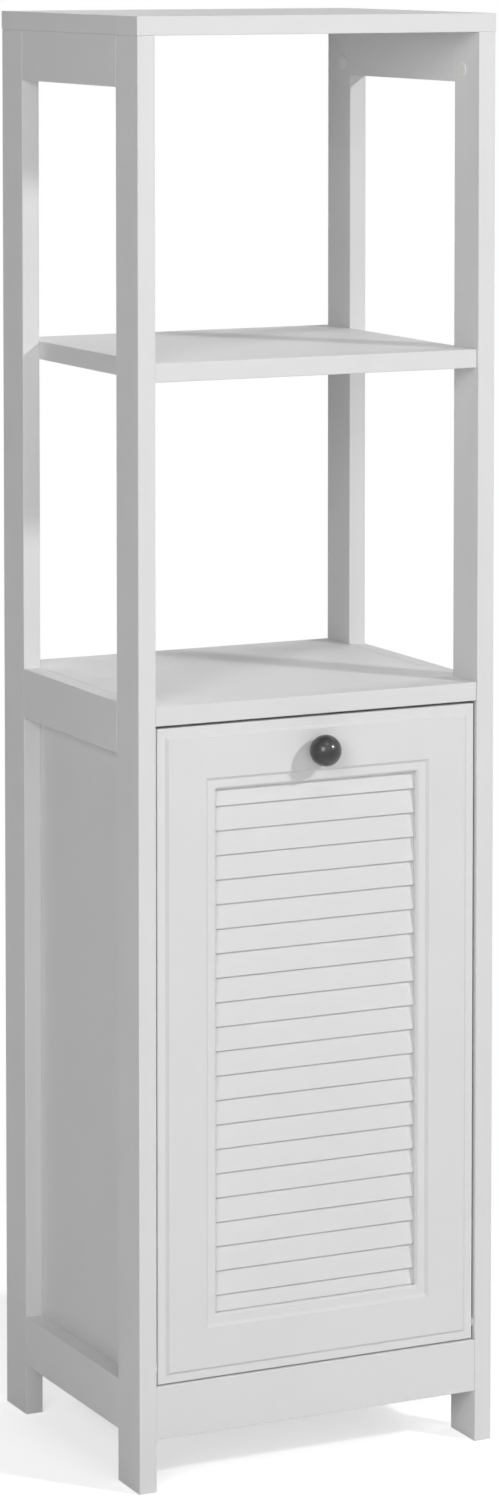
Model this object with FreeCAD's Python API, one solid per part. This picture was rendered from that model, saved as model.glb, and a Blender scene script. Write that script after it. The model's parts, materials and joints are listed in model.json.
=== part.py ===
import FreeCAD, Part
import os
from math import asin, cos, hypot, radians, sin

Vec = FreeCAD.Vector
ROUNDING = 1e-6    # slack in comparisons of lengths

# ---------------------------------------------------------------------------
# Driving dimensions, in millimetres.
# X runs across the front, Y from front to back, Z up.  The front faces -Y.
# The origin is the middle of the floor print, the knob included.
# ---------------------------------------------------------------------------

# Open frame
frame_width = 399.0          # over the outer faces of the posts
frame_depth = 335.0          # from the front of the front posts to the back of the back posts
overall_height = 1470.0
board = 19.0                 # thickness of posts, rails and shelves
post_depth = 51.5            # width of the post stock, front to back
rail_height = 51.5           # width of the side-rail stock
top_overhang = 0.5           # top board past the posts, all round
edge_round = 0.9             # eased edge of every painted board
leg_clear = 53.0             # floor to the underside of the lowest rails
front_rail_height = 53.5
front_rail_recess = 0.4      # front rail behind the front of the posts
middle_shelf_top = 1129.5
middle_shelf_recess = 2.3    # shelf edge behind the posts, front and back
cabinet_top = 789.0          # upper face of the shelf that closes the cabinet
cabinet_top_recess = 1.4

# Closed lower cabinet
side_panel_thickness = 12.0
bottom_panel_thickness = 12.0
groove_depth = 5.0           # groove in the side panels for the bottom panel
back_panel_thickness = 4.0
back_panel_inset = 2.0       # back panel in front of the back of the posts
panel_clear_of_door = 1.0    # side panel's front edge past the door's swinging corner
panel_gap = 0.2              # between a thin panel and the boards round it
cut_past = 1.0               # how far a cutting form runs past the faces that it cuts

# Door
door_thickness = 19.0        # from the raised field to the back
door_side_gap = 2.5
door_top_gap = 3.0
door_bottom_gap = 1.5
border_width = 8.5           # low flat margin round the raised field
profile_depth = 3.0          # step from the raised field to the margin
profile_width = 3.0          # slope of that step, seen from the front
stile_width = 52.5           # door edge to the routed line round the louvres
top_rail_width = 52.4
bottom_rail_width = 51.0
band_width = 7.5             # low flat band round the louvres
opening_chamfer = 2.0        # chamfer along the louvre opening
door_dowel_shares = (0.3, 0.7)   # height of the two dowels up each end of a door rail
door_edge_round = 0.8

# Louvres
slat_count = 22
slat_pitch = 24.75
slat_length = 27.5           # along the slope
slat_thickness = 3.5
slat_tilt = 13.5             # degrees from upright, top edge leaning back
slat_depth = 9.0             # lower front edge of a slat behind the raised field
slot_depth = 5.0             # housing in each stile
slot_clearance = 0.1

# Tilt hinge of the door
pivot_radius = 2.5
pivot_clearance = 0.05       # running clearance in the bush
pivot_in_door = 15.0
pivot_in_post = 11.0
pivot_above_edge = 16.0      # axis above the door's lower edge
pivot_behind_margin = 5.1    # axis behind the front of the door's margin
bush_wall = 1.5
bush_flange_radius = 4.8
bush_past_pin = 1.0
tilt_limit = 36.0            # degrees
running_gap = 0.3            # between pieces that pass each other

# Slotted stays and the shoulder screws that they ride on
stay_radius = 200.0          # slot centre line from the hinge axis
stay_width = 20.0
stay_thickness = 2.0
stay_from_panel = 3.5        # stay's outer face inboard of the side panel
stay_slot_half = 2.8
stay_end = 5.0               # degrees of metal past the slot's inner end
stay_rest_angle = 80.0       # degrees above level of the stop screw from the axis
stay_tab_width = 18.0
stop_radius = 2.5
stop_head_radius = 5.0
stop_head_height = 2.2
stop_in_panel = 9.0

# Knob
knob_radius = 16.0
knob_projection = 30.5       # in front of the raised field
knob_neck_radius = 7.0
knob_neck_length = 2.2
knob_neck_waist = 7.35       # radius part way up the neck
knob_waist_share = 0.6       # and how far up that is
knob_below_top = 32.0        # centre below the door's top edge
knob_screw_radius = 2.0
knob_screw_depth = 12.0      # thread inside the knob
knob_screw_head_radius = 4.2
knob_screw_head_height = 2.2
knob_screw_head_round = 0.9

# Laundry bag and its wire frame
wire_radius = 3.0
bag_frame_side_gap = 10.0      # wire's side to the stays
bag_frame_gap = 8.0            # door's back face to the wire
bag_frame_depth = 184.0        # wire centre to wire centre, front to back
bag_frame_corner = 14.0
bag_frame_height = 690.0       # wire's centre above the floor
bag_wall = 2.0
bag_bottom = 136.0
bag_taper_side = 14.0          # each side draws in towards the bottom
bag_taper_depth = 9.0
clip_width = 14.0
clip_wall = 2.0
clip_plate_height = 30.0
clip_screw_drop = 20.0         # clip's screw below the wire's centre

# Fittings
cam_radius = 7.4
cam_height = 12.8
cam_set_in = 0.4               # cam below the face that it is turned from
cam_slot_width = 1.6
cam_slot_depth = 2.0
cam_reach_post = 16.0          # joint face to cam, in the posts at the side rails
cam_reach_shelf = 24.0         # joint face to cam, in shelves and rails
cam_bolt_thread = 11.0
cam_bolt_thread_radius = 2.8
cam_bolt_shank_radius = 2.2
cam_bolt_head_radius = 3.2
cam_bolt_head = 3.0
cam_bolt_hole_radius = 3.9
fit_clearance = 0.1            # between a fitting and its hole
fitting_from_edge = 16.0       # shelf fitting from the nearer edge of the post
rail_fitting_from_edge = 12.2  # side-rail fitting from the nearer edge of the rail
cap_radius = 8.3
cap_height = 1.3
cap_round = 0.9
dowel_radius = 4.0
dowel_lead = 1.0               # bevel at a dowel's ends
dowel_in_post = 10.0           # dowel's length in a post or a stile
dowel_in_board = 20.0          # and in the shelf or rail that it carries
top_dowel_in_board = 12.0      # and in the top board
screw_radius = 1.75
screw_head_radius = 3.5
screw_head_height = 2.2
pan_head_rise = 1.65
pan_head_flat = 2.6            # radius of its flat top
pan_head_edge = 0.65           # height of its upright edge
panel_screw_length = 26.0
top_screw_length = 36.0
top_screw_in_board = 12.0      # screw's length in the top board
top_screw_bore_radius = 4.5    # deep bore up into the rail for the screw's head
top_screw_from_end = 55.0      # screw from the end of the rail
back_screw_length = 16.0
small_screw_length = 12.0
panel_screw_rows = 3           # up each post
panel_screw_above_rail = 45.5  # lowest row above the low side rail
panel_screw_below_shelf = 40.0 # highest row below the cabinet's top
back_screw_rows = 5
back_screw_above_rail = 25.5
back_screw_below_shelf = 15.0

# Magnetic catch
catch_width = 46.0
catch_depth = 15.0
catch_height = 13.0
magnet_width = 24.0
magnet_height = 8.0
magnet_depth = 9.0
strike_width = 34.0
strike_height = 16.0
strike_thickness = 1.5
strike_from_edge = 1.0
magnet_proud = 1.0             # magnet in front of its housing
magnet_above_middle = -1.0
catch_corner = 2.0             # round corners of the catch and of its plate

# ---------------------------------------------------------------------------
# Levels and faces worked out from the values above
# ---------------------------------------------------------------------------
overall_depth = knob_projection + frame_depth + top_overhang
front = knob_projection - overall_depth / 2      # front faces of the front posts
back = front + frame_depth                       # back faces of the back posts
outer_x = frame_width / 2                        # outer faces of the posts
inner_x = outer_x - board                        # inner faces of the posts
post_top = overall_height - board
front_post_back = front + post_depth             # rear edge of the front posts
back_post_front = back - post_depth              # front edge of the back posts

panel_inner_x = inner_x - side_panel_thickness
back_panel_front = back - back_panel_inset - back_panel_thickness
cabinet_under = cabinet_top - board              # underside of the cabinet's top
low_rail_top = leg_clear + rail_height
front_rail_top = leg_clear + front_rail_height
front_rail_front = front + front_rail_recess

door_half = inner_x - door_side_gap
door_low = front_rail_top + door_bottom_gap
door_high = cabinet_under - door_top_gap
door_back = front + door_thickness
margin_face = front + profile_depth              # front of the door's low margin
line_x = door_half - stile_width                 # routed line round the louvres
line_low = door_low + bottom_rail_width
line_high = door_high - top_rail_width
band_step = profile_width + band_width
open_x = line_x - band_step - opening_chamfer    # clear louvre opening
open_low = line_low + band_step + opening_chamfer
open_high = line_high - band_step - opening_chamfer

pivot_y = margin_face + pivot_behind_margin
pivot_z = door_low + pivot_above_edge

knob_z = door_high - knob_below_top


# ---------------------------------------------------------------------------
# Helpers
# ---------------------------------------------------------------------------
def block(x, y, z):
    """Box from its (low, high) pairs along X, Y and Z."""
    return Part.makeBox(x[1] - x[0], y[1] - y[0], z[1] - z[0], Vec(x[0], y[0], z[0]))


def eased(shape, radius=edge_round):
    """Rounds every edge, as the paint and sanding leave it."""
    return shape.makeFillet(radius, shape.Edges)


def eased_board(x, y, z):
    return eased(block(x, y, z))


def both_sides(side, low, high):
    """X pair from low to high, on the right (side 1) or the left (side -1)."""
    return (low, high) if side > 0 else (-high, -low)


def aim(shape, point, direction):
    """Turns a shape made along +Z to a direction and carries it to a point."""
    turn = FreeCAD.Rotation(Vec(0, 0, 1), direction)
    shape.Placement = FreeCAD.Placement(point, turn)
    return shape


def rod(radius, point, direction, start, end):
    """Round bar along a direction, between two distances from a point."""
    base = point + direction * start
    return Part.makeCylinder(radius, end - start, base, direction)


def turned(points):
    """Solid of revolution about Z from (radius, height) points, which starts and ends on the axis."""
    outline = [Vec(r, 0, h) for r, h in points]
    wire = Part.makePolygon(outline + [outline[0]])
    return Part.Face(wire).revolve(Vec(0, 0, 0), Vec(0, 0, 1), 360)


def cut_all(shape, tools):
    return shape.cut(Part.makeCompound(tools)) if tools else shape


def prism(outline, x_low, x_high):
    """Closed (y, z) outline carried along X."""
    points = [Vec(x_low, y, z) for y, z in outline]
    face = Part.Face(Part.makePolygon(points + [points[0]]))
    return face.extrude(Vec(x_high - x_low, 0, 0))


def frustum(half_x_a, z_a, y_a, half_x_b, z_b, y_b):
    """Ruled solid between two rectangles that face the front, at y_a and y_b."""
    wires = []
    for half_x, (low, high), y in ((half_x_a, z_a, y_a), (half_x_b, z_b, y_b)):
        corners = [Vec(-half_x, y, low), Vec(half_x, y, low), Vec(half_x, y, high), Vec(-half_x, y, high)]
        wires.append(Part.makePolygon(corners + [corners[0]]))
    return Part.makeLoft(wires, True, True)


# ---------------------------------------------------------------------------
# Fasteners.  Each maker returns the piece; its hole is the same form with clearance.
# ---------------------------------------------------------------------------
def countersunk_screw(point, direction, length, clearance=0.0):
    """Wood screw whose flat head ends at the point and whose shank runs along the direction."""
    radius = screw_radius + clearance
    head = screw_head_radius + clearance
    tip = length + clearance
    profile = [(0, 0), (head, 0), (radius, screw_head_height + clearance),
               (radius, tip - radius), (0, tip)]
    return aim(turned(profile), point, direction)


def pan_screw(point, direction, length, clearance=0.0):
    """Wood screw whose raised head stands behind the point."""
    radius = screw_radius + clearance
    head = screw_head_radius
    profile = [(0, -pan_head_rise), (pan_head_flat, -pan_head_rise), (head, -pan_head_edge), (head, 0),
               (radius, 0), (radius, length - radius), (0, length + clearance)]
    return aim(turned(profile), point, direction)


class CamJoint:
    """Knock-down fitting: a bolt in one board, drawn in by a cam in the other."""

    def __init__(self, joint_point, into_cam_board, cam_face_normal, reach):
        self.point = joint_point
        self.along = into_cam_board
        self.out = cam_face_normal
        self.centre = joint_point + into_cam_board * reach
        self.face_point = self.centre + cam_face_normal * (board / 2)
        self.reach = reach

    def bolt(self):
        thread = rod(cam_bolt_thread_radius, self.point, self.along, -cam_bolt_thread, 0)
        shank_end = self.reach - cam_bolt_head
        shank = rod(cam_bolt_shank_radius, self.point, self.along, 0, shank_end)
        head = rod(cam_bolt_head_radius, self.point, self.along, shank_end, self.reach)
        return thread.fuse([shank, head]).removeSplitter()

    def cam(self):
        body = rod(cam_radius, self.face_point, -self.out, cam_set_in, cam_set_in + cam_height)
        mouth = rod(cam_bolt_head_radius + fit_clearance, self.point, self.along,
                    self.reach - 2 * cam_radius, self.reach + fit_clearance)
        across = self.out.cross(self.along)
        half_slot = cam_slot_width / 2
        slot = Part.makeBox(2 * cam_radius, cam_slot_width, cam_slot_depth,
                            Vec(-cam_radius, -half_slot, 0))
        axes = FreeCAD.Matrix(across.x, self.along.x, -self.out.x, 0,
                              across.y, self.along.y, -self.out.y, 0,
                              across.z, self.along.z, -self.out.z, 0,
                              0, 0, 0, 1)
        slot = slot.transformGeometry(axes)
        slot.translate(self.face_point - self.out * cam_set_in)
        return body.cut([mouth, slot])

    def pocket(self):
        depth = cam_set_in + cam_height + fit_clearance
        bore = rod(cam_radius + fit_clearance, self.face_point, -self.out, 0, depth)
        way = rod(cam_bolt_hole_radius, self.point, self.along, 0, self.reach)
        return bore.fuse(way)

    def thread_hole(self):
        return rod(cam_bolt_thread_radius + fit_clearance, self.point, self.along,
                   -cam_bolt_thread - fit_clearance, 0)

    def cap(self):
        disc = Part.makeCylinder(cap_radius, cap_height)
        rim = [edge for edge in disc.Edges if abs(edge.BoundBox.ZMin - cap_height) < ROUNDING]
        return aim(disc.makeFillet(cap_round, rim), self.face_point, self.out)


class Dowel:
    """Wooden peg across a joint; it points from the board with the shorter hole into the other."""

    def __init__(self, joint_point, direction, behind=dowel_in_post, ahead=dowel_in_board):
        self.point = joint_point
        self.along = direction
        self.behind = behind
        self.ahead = ahead

    def peg(self):
        length = self.behind + self.ahead
        end_radius = dowel_radius - dowel_lead
        profile = [(0, 0), (end_radius, 0), (dowel_radius, dowel_lead),
                   (dowel_radius, length - dowel_lead), (end_radius, length), (0, length)]
        return aim(turned(profile), self.point - self.along * self.behind, self.along)

    def hole(self):
        return rod(dowel_radius + fit_clearance, self.point, self.along,
                   -self.behind - fit_clearance, self.ahead + fit_clearance)


# ---------------------------------------------------------------------------
# Where the fasteners go
# ---------------------------------------------------------------------------
X_AXIS = Vec(1, 0, 0)
Y_AXIS = Vec(0, 1, 0)
Z_AXIS = Vec(0, 0, 1)
SIDES = (-1, 1)


def post_fitting_levels():
    """Y of the cam fitting and of the dowel in the front and in the back posts."""
    dowel_from_edge = post_depth - fitting_from_edge
    return ((front_post_back - fitting_from_edge, front_post_back - dowel_from_edge),
            (back_post_front + fitting_from_edge, back_post_front + dowel_from_edge))


def top_board_dowels():
    """One peg from the top of each post."""
    x = inner_x + board / 2
    return [Dowel(Vec(side * x, dowel_y, post_top), Z_AXIS, dowel_in_post, top_dowel_in_board)
            for side in SIDES for cam_y, dowel_y in post_fitting_levels()]


def shelf_joints(top_level):
    """Shelf ends against the posts, cams turned from the shelf's underside."""
    cams, dowels = [], []
    z = top_level - board / 2
    for side in SIDES:
        inward = X_AXIS * -side
        for cam_y, dowel_y in post_fitting_levels():
            cams.append(CamJoint(Vec(side * inner_x, cam_y, z), inward, -Z_AXIS, cam_reach_shelf))
            dowels.append(Dowel(Vec(side * inner_x, dowel_y, z), inward))
    return cams, dowels


def low_rail_joints(y_middle, height, cam_normal):
    """Front or back bottom rail against the posts: a cam below, a dowel above."""
    cams, dowels = [], []
    for side in SIDES:
        inward = X_AXIS * -side
        cam_z = leg_clear + fitting_from_edge
        dowel_z = leg_clear + height - fitting_from_edge
        cams.append(CamJoint(Vec(side * inner_x, y_middle, cam_z), inward, cam_normal, cam_reach_shelf))
        dowels.append(Dowel(Vec(side * inner_x, y_middle, dowel_z), inward))
    return cams, dowels


def side_rail_joints(top_level):
    """Side rail's ends against the posts: a cam in the post's inner face, a dowel above it."""
    cams, dowels = [], []
    cam_z = top_level - rail_height + rail_fitting_from_edge
    dowel_z = top_level - rail_fitting_from_edge
    for side in SIDES:
        x = side * (inner_x + board / 2)
        for y, into_post in ((front_post_back, -Y_AXIS), (back_post_front, Y_AXIS)):
            cams.append(CamJoint(Vec(x, y, cam_z), into_post, X_AXIS * -side, cam_reach_post))
            dowels.append(Dowel(Vec(x, y, dowel_z), -into_post))
    return cams, dowels


front_rail_middle = front_rail_front + board / 2
back_rail_back = back_panel_front
back_rail_middle = back_rail_back - board / 2

top_dowels = top_board_dowels()
middle_cams, middle_dowels = shelf_joints(middle_shelf_top)
cabinet_cams, cabinet_dowels = shelf_joints(cabinet_top)
front_rail_cams, front_rail_dowels = low_rail_joints(front_rail_middle, front_rail_height, Y_AXIS)
back_rail_cams, back_rail_dowels = low_rail_joints(back_rail_middle, rail_height, -Y_AXIS)

side_rail_tops = {"top": post_top, "shelf": cabinet_top, "bottom": low_rail_top}
side_rail_fittings = {name: side_rail_joints(level) for name, level in side_rail_tops.items()}
side_rail_cams = [joint for cams, dowels in side_rail_fittings.values() for joint in cams]
side_rail_dowels = [peg for cams, dowels in side_rail_fittings.values() for peg in dowels]

cams_in_boards = middle_cams + cabinet_cams + front_rail_cams + back_rail_cams
dowels_in_posts = (top_dowels + middle_dowels + cabinet_dowels + front_rail_dowels
                   + back_rail_dowels + side_rail_dowels)


def rows(low, high, count):
    """Even levels from low to high."""
    return [low + (high - low) * index / (count - 1) for index in range(count)]


def top_screw_places():
    """(point, direction) of the screws that go up through the top side rails."""
    x = inner_x + board / 2
    z = post_top + top_screw_in_board - top_screw_length
    return [(Vec(side * x, y, z), Z_AXIS) for side in SIDES
            for y in (front_post_back + top_screw_from_end, back_post_front - top_screw_from_end)]


def panel_screw_places():
    """(point, direction) of the screws from each side panel into its two posts."""
    levels = rows(low_rail_top + panel_screw_above_rail, cabinet_under - panel_screw_below_shelf,
                  panel_screw_rows)
    return [(Vec(side * panel_inner_x, y, z), X_AXIS * side) for side in SIDES
            for y in (front_post_back - fitting_from_edge, back_post_front + fitting_from_edge)
            for z in levels]


def back_screw_places():
    """(point, direction) of the screws through the back panel into the side panels' edges."""
    x = panel_inner_x + side_panel_thickness / 2
    y = back_panel_front + back_panel_thickness
    levels = rows(low_rail_top + back_screw_above_rail, cabinet_under - back_screw_below_shelf,
                  back_screw_rows)
    return [(Vec(side * x, y, z), -Y_AXIS) for side in SIDES for z in levels]


def on_arc(radius, angle):
    """Point of the Y-Z plane at a radius from the hinge axis, angle in degrees above level."""
    return (pivot_y + radius * cos(radians(angle)), pivot_z + radius * sin(radians(angle)))


stop_y, stop_z = on_arc(stay_radius, stay_rest_angle)
stay_outer_x = panel_inner_x - stay_from_panel
stay_inner_x = stay_outer_x - stay_thickness
bag_frame_half_width = stay_inner_x - bag_frame_side_gap - wire_radius   # to the wire's centre


# ---------------------------------------------------------------------------
# Open frame
# ---------------------------------------------------------------------------
def in_board(point, x, y, z):
    """True where a point lies in or on a board given by its X, Y and Z pairs."""
    return all(low - ROUNDING <= value <= high + ROUNDING
               for value, (low, high) in zip((point.x, point.y, point.z), (x, y, z)))


def post(side, y_pair):
    space = (both_sides(side, inner_x, outer_x), y_pair, (0, post_top))
    holes = [joint.pocket() for joint in side_rail_cams if in_board(joint.point, *space)]
    holes += [joint.thread_hole() for joint in cams_in_boards if in_board(joint.point, *space)]
    holes += [peg.hole() for peg in dowels_in_posts if in_board(peg.point, *space)]
    holes += [countersunk_screw(point, way, panel_screw_length, fit_clearance)
              for point, way in panel_screw_places()
              if in_board(point + way * side_panel_thickness, *space)]
    if y_pair[0] == front:
        holes.append(bush_body(side, fit_clearance))
    return cut_all(eased_board(*space), holes)


def side_rail(side, name):
    top_level = side_rail_tops[name]
    cams, pegs = side_rail_fittings[name]
    space = (both_sides(side, inner_x, outer_x), (front_post_back, back_post_front),
             (top_level - rail_height, top_level))
    holes = [joint.thread_hole() for joint in cams if in_board(joint.point, *space)]
    holes += [peg.hole() for peg in pegs if in_board(peg.point, *space)]
    for point, way in top_screw_places():
        if in_board(point, *space):
            holes.append(countersunk_screw(point, way, top_screw_length, fit_clearance))
            holes.append(rod(top_screw_bore_radius, point, way, -rail_height, 0))
    return cut_all(eased_board(*space), holes)


def top_board():
    half = outer_x + top_overhang
    body = eased_board((-half, half), (front - top_overhang, back + top_overhang), (post_top, overall_height))
    holes = [peg.hole() for peg in top_dowels]
    holes += [countersunk_screw(point, way, top_screw_length, fit_clearance)
              for point, way in top_screw_places()]
    return cut_all(body, holes)


def shelf(top_level, recess, cams, pegs, extra=()):
    body = eased_board((-inner_x, inner_x), (front + recess, back - recess), (top_level - board, top_level))
    holes = [joint.pocket() for joint in cams] + [peg.hole() for peg in pegs]
    return cut_all(body, holes + list(extra))


def bottom_rail(y_low, height, cams, pegs):
    body = eased_board((-inner_x, inner_x), (y_low, y_low + board), (leg_clear, leg_clear + height))
    return cut_all(body, [joint.pocket() for joint in cams] + [peg.hole() for peg in pegs])


# ---------------------------------------------------------------------------
# Closed lower cabinet
# ---------------------------------------------------------------------------
door_corner_swing = hypot(door_back - pivot_y, pivot_above_edge)
panel_front = pivot_y + door_corner_swing + panel_clear_of_door
bottom_panel_high = low_rail_top
bottom_panel_low = bottom_panel_high - bottom_panel_thickness


def side_panel(side):
    """Panel on the inner faces of the posts; the bottom panel sits in its groove."""
    x_pair = both_sides(side, panel_inner_x, inner_x)
    body = block(x_pair, (panel_front, back_panel_front), (leg_clear, cabinet_under))
    groove_x = both_sides(side, panel_inner_x, panel_inner_x + groove_depth)
    groove = block(groove_x, (panel_front, back_panel_front),
                   (bottom_panel_low - panel_gap, bottom_panel_high + panel_gap))
    rail_notch = block(x_pair, (back_rail_back - board - panel_gap, back_panel_front),
                       (leg_clear, leg_clear + rail_height + panel_gap))
    holes = [groove, rail_notch]
    for point, way in panel_screw_places():
        if point.x * side > 0:
            holes.append(countersunk_screw(point, way, panel_screw_length, fit_clearance))
    for point, way in back_screw_places():
        if point.x * side > 0:
            holes.append(pan_screw(point, way, back_screw_length, fit_clearance))
    stop_point = Vec(side * panel_inner_x, stop_y, stop_z)
    holes.append(rod(stop_radius + fit_clearance, stop_point, X_AXIS * side, 0, stop_in_panel + fit_clearance))
    return cut_all(body, holes)


def bottom_panel():
    half = panel_inner_x + groove_depth - panel_gap
    y_low = front_rail_front + board
    body = block((-half, half), (panel_front, back_rail_back - board),
                 (bottom_panel_low, bottom_panel_high))
    tongue = block((-panel_inner_x + panel_gap, panel_inner_x - panel_gap), (y_low, panel_front),
                   (bottom_panel_low, bottom_panel_high))
    return body.fuse(tongue).removeSplitter()


def back_panel():
    half = inner_x - panel_gap
    body = block((-half, half), (back_panel_front, back_panel_front + back_panel_thickness),
                 (leg_clear, cabinet_under - panel_gap))
    return cut_all(body, [pan_screw(point, way, back_screw_length, fit_clearance)
                          for point, way in back_screw_places()])


# ---------------------------------------------------------------------------
# Hinge: bushes in the posts, pins in the door
# ---------------------------------------------------------------------------
def pivot_point(side):
    return Vec(side * inner_x, pivot_y, pivot_z)


def bush_body(side, clearance=0.0):
    outer = pivot_radius + pivot_clearance + bush_wall + clearance
    return rod(outer, pivot_point(side), X_AXIS * side, 0, pivot_in_post + bush_past_pin + clearance)


def pivot_bush(side):
    """Flanged nylon bush; the flange spaces the door from the post."""
    flange = rod(bush_flange_radius, pivot_point(side), X_AXIS * -side, 0, door_side_gap - running_gap)
    bore = rod(pivot_radius + pivot_clearance, pivot_point(side), X_AXIS * side,
               -door_side_gap, pivot_in_post + running_gap)
    return bush_body(side).fuse(flange).cut(bore).removeSplitter()


def pin_solid(side, clearance=0.0):
    inward = door_side_gap + pivot_in_door + clearance
    return rod(pivot_radius + clearance, pivot_point(side), X_AXIS * side, -inward, pivot_in_post)


# ---------------------------------------------------------------------------
# Door: a framed, raised and routed panel with slats housed in its stiles
# ---------------------------------------------------------------------------
def inset(pair, amount):
    return (pair[0] + amount, pair[1] - amount)


def routed_blank():
    """Whole door frame with its raised field and its opening, before it is parted."""
    height = (door_low, door_high)
    plate = block((-door_half, door_half), (margin_face, door_back), height)
    front_edges = [edge for edge in plate.Edges
                   if edge.BoundBox.YMax < margin_face + ROUNDING]
    plate = plate.makeFillet(door_edge_round, front_edges)
    step = border_width + profile_width
    field = frustum(door_half - border_width, inset(height, border_width), margin_face,
                    door_half - step, inset(height, step), front)
    blank = plate.fuse(field).removeSplitter()
    line = (line_low, line_high)
    sunk = frustum(line_x, line, front,
                   line_x - profile_width, inset(line, profile_width), margin_face)
    mouth = frustum(line_x - band_step, inset(line, band_step), margin_face,
                    open_x, (open_low, open_high), margin_face + opening_chamfer)
    through = block((-open_x, open_x), (margin_face, door_back), (open_low, open_high))
    return blank.cut([sunk, mouth, through])


def door_dowels():
    """Pegs that join the door's rails to its stiles."""
    y = (margin_face + door_back) / 2
    pegs = []
    for side in SIDES:
        for low, high in ((door_low, open_low), (open_high, door_high)):
            for share in door_dowel_shares:
                z = low + (high - low) * share
                pegs.append(Dowel(Vec(side * open_x, y, z), X_AXIS * -side))
    return pegs


def slat_outline(z, clearance=0.0):
    """(y, z) outline of a slat whose lower front edge is at z."""
    lean = radians(slat_tilt)
    up = (sin(lean), cos(lean))
    thick = (cos(lean), -sin(lean))

    def place(along, across):
        y = front + slat_depth + up[0] * along + thick[0] * across
        return (y, z + up[1] * along + thick[1] * across)

    low, high = -clearance, slat_length + clearance
    near_face, far_face = -clearance, slat_thickness + clearance
    return [place(low, near_face), place(high, near_face), place(high, far_face), place(low, far_face)]


def slat_levels():
    """Z of the lower front edges, centred on the opening from the top down."""
    middle = (open_low + open_high) / 2
    first = middle + slat_pitch * (slat_count - 2) / 2
    return [first - slat_pitch * index for index in range(slat_count)]


def slats():
    half = open_x + slot_depth - slot_clearance
    window = block((-half, half), (front, door_back),
                   (open_low + slot_clearance, open_high - slot_clearance))
    return [prism(slat_outline(z), -half, half).common(window) for z in slat_levels()]


def slat_slots(side):
    x_low, x_high = both_sides(side, open_x, open_x + slot_depth)
    window = block((x_low, x_high), (front, door_back), (open_low, open_high))
    return [prism(slat_outline(z, slot_clearance), x_low, x_high).common(window) for z in slat_levels()]


knob_point = Vec(0, front, knob_z)


def knob():
    """Ball knob on a short neck, turned about its own axis."""
    centre = knob_projection - knob_radius
    neck_joint = (knob_radius ** 2 - (centre - knob_neck_length) ** 2) ** 0.5
    start = Vec(neck_joint, 0, knob_neck_length)
    outer = Vec(knob_radius, 0, centre)
    shoulder = Vec(knob_radius * cos(radians(45)), 0, centre + knob_radius * sin(radians(45)))
    tip = Vec(0, 0, knob_projection)
    start_angle = asin((knob_neck_length - centre) / knob_radius)
    low_mid = Vec(knob_radius * cos(start_angle / 2), 0, centre + knob_radius * sin(start_angle / 2))
    neck_foot = Vec(knob_neck_radius, 0, 0)
    neck_waist = Vec(knob_neck_waist, 0, knob_neck_length * knob_waist_share)
    edges = [Part.LineSegment(Vec(0, 0, 0), neck_foot).toShape(),
             Part.Arc(neck_foot, neck_waist, start).toShape(),
             Part.Arc(start, low_mid, outer).toShape(),
             Part.Arc(outer, shoulder, tip).toShape(),
             Part.LineSegment(tip, Vec(0, 0, 0)).toShape()]
    body = Part.Face(Part.Wire(edges)).revolve(Vec(0, 0, 0), Z_AXIS, 360)
    body = aim(body, knob_point, -Y_AXIS)
    return body.cut(rod(knob_screw_radius + fit_clearance, knob_point, -Y_AXIS, 0,
                        knob_screw_depth + fit_clearance))


def knob_screw():
    shank = rod(knob_screw_radius, knob_point, -Y_AXIS, -door_thickness, knob_screw_depth)
    head = rod(knob_screw_head_radius, knob_point, Y_AXIS, door_thickness,
               door_thickness + knob_screw_head_height)
    rim = [edge for edge in head.Edges if edge.BoundBox.YMin > door_back + knob_screw_head_height - ROUNDING]
    return head.makeFillet(knob_screw_head_round, rim).fuse(shank).removeSplitter()


def strike_screw_place():
    return Vec(0, door_back + strike_thickness, strike_middle), -Y_AXIS


clip_x = bag_frame_half_width - bag_frame_corner - clip_width / 2
strike_middle = door_high - strike_height / 2 - strike_from_edge


def clip_screw_places():
    z = bag_frame_height - clip_screw_drop
    return [(Vec(side * clip_x, door_back + clip_wall, z), -Y_AXIS) for side in SIDES]


def stay_screw_places():
    """Two screws through each stay's tab into the back of the stile."""
    z_middle = stay_tab_level()
    x = stay_inner_x - stay_tab_width / 2
    offset = stay_width / 4
    return [(Vec(side * x, door_back + stay_thickness, z_middle + shift), -Y_AXIS)
            for side in SIDES for shift in (-offset, offset)]


def door_pieces():
    blank = routed_blank()
    y_pair = (front - cut_past, door_back + cut_past)
    z_pair = (door_low - cut_past, door_high + cut_past)
    pegs = door_dowels()
    peg_holes = [peg.hole() for peg in pegs]
    screws = [countersunk_screw(point, way, small_screw_length, fit_clearance)
              for point, way in clip_screw_places() + stay_screw_places()]
    pieces = {}
    for side, name in zip(SIDES, ("door_left_stile", "door_right_stile")):
        part = blank.common(block(both_sides(side, open_x, door_half + cut_past), y_pair, z_pair))
        holes = peg_holes + slat_slots(side) + [pin_solid(side, fit_clearance)] + screws
        pieces[name] = cut_all(part, holes)
    knob_hole = rod(knob_screw_radius + fit_clearance, knob_point, Y_AXIS, -cut_past, door_thickness + cut_past)
    strike_point, strike_way = strike_screw_place()
    strike_hole = countersunk_screw(strike_point, strike_way, small_screw_length, fit_clearance)
    upper = blank.common(block((-open_x, open_x), y_pair, (open_high, z_pair[1])))
    lower = blank.common(block((-open_x, open_x), y_pair, (z_pair[0], open_low)))
    pieces["door_top_rail"] = cut_all(upper, peg_holes + [knob_hole, strike_hole])
    pieces["door_bottom_rail"] = cut_all(lower, peg_holes)
    pieces["door_dowels"] = Part.makeCompound([peg.peg() for peg in pegs])
    pieces["louver_slats"] = Part.makeCompound(slats())
    return pieces


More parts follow.
